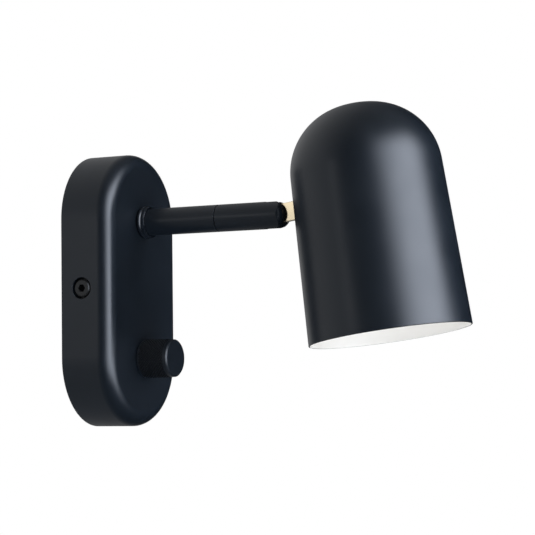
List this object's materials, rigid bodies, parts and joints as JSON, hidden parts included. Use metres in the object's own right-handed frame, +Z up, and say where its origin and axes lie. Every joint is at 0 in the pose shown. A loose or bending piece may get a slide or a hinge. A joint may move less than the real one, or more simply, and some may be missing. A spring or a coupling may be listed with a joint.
{
  "type": "wall reading lamp",
  "caption": "Bedside wall reading lamp: round-ended base with a knurled dimmer knob, a short arm that swivels at its seam, and a domed shade that tilts on a brass tongue in the arm's fork.",
  "frame": {"origin": "centre of the base's back, on the wall", "axes": "+Z up, -Y out of the wall into the room, +X to the right of someone facing the lamp"},
  "size_m": [0.097, 0.249, 0.1909],
  "materials": {
    "coated_metal": "fine satin powder coat, blue-black; the shade's inside is white",
    "black_screws": "blackened steel",
    "zinc_steel": "zinc plated steel",
    "turned_brass": "plain turned and milled brass, satin",
    "bulb_cap_metal": "plain aluminium screw cap",
    "cast_saddle": "cast, white coated",
    "grommet_rubber": "matt black rubber",
    "white_plastic": "heat resistant moulding",
    "black_plastic": "moulded, matt",
    "opal_glass": "opal white glass"
  },
  "bodies": {
    "base": {"wall_bracket": "zinc_steel", "clinch_nuts": "zinc_steel", "cover_shell": "coated_metal", "cover_screws": "black_screws", "cable_grommet": "grommet_rubber", "terminal_block": "white_plastic", "terminal_screws": "turned_brass", "earth_screw": "turned_brass", "arm_tube_rear": "coated_metal", "arm_washer": "zinc_steel", "arm_nut": "zinc_steel", "arm_collar": "coated_metal", "swivel_spindle": "turned_brass", "swivel_washer": "black_plastic", "dimmer_housing": "black_plastic", "dimmer_bush": "zinc_steel", "dimmer_washer": "zinc_steel", "dimmer_nut": "zinc_steel"},
    "arm": {"front_arm": "coated_metal", "swivel_stop_screw": "black_screws", "hinge_screw": "black_screws", "hinge_disc_spring": "zinc_steel", "hinge_washers": "black_plastic"},
    "head": {"hinge_tongue": "turned_brass", "shade": "coated_metal", "stub_saddle": "cast_saddle", "stub_nut": "zinc_steel", "holder_bracket": "zinc_steel", "holder_body": "white_plastic", "holder_insert": "white_plastic", "holder_thread": "turned_brass", "holder_terminals": "turned_brass", "holder_cap": "white_plastic", "holder_nipple": "zinc_steel", "holder_nut": "zinc_steel", "bulb_globe": "opal_glass", "bulb_cap": "bulb_cap_metal", "bulb_insulator": "black_plastic", "bulb_contact": "turned_brass", "centre_contact": "turned_brass"},
    "dimmer_knob": {"knob": "coated_metal", "dimmer_spindle": "zinc_steel"}
  },
  "joints": [
    {"name": "arm_swivel", "type": "hinge", "parent": "base", "child": "arm", "pos_m": [0, -0.08825, 0.04215], "axis": [0, -1, 0], "range_deg": [-155, 155]},
    {"name": "head_tilt", "type": "hinge", "parent": "arm", "child": "head", "pos_m": [0, -0.126, 0.04215], "axis": [1, 0, 0], "range_deg": [-80, 45]},
    {"name": "knob_turn", "type": "hinge", "parent": "base", "child": "dimmer_knob", "pos_m": [0, -0.046, -0.0431], "axis": [0, 1, 0], "range_deg": [0, 300]}
  ]
}
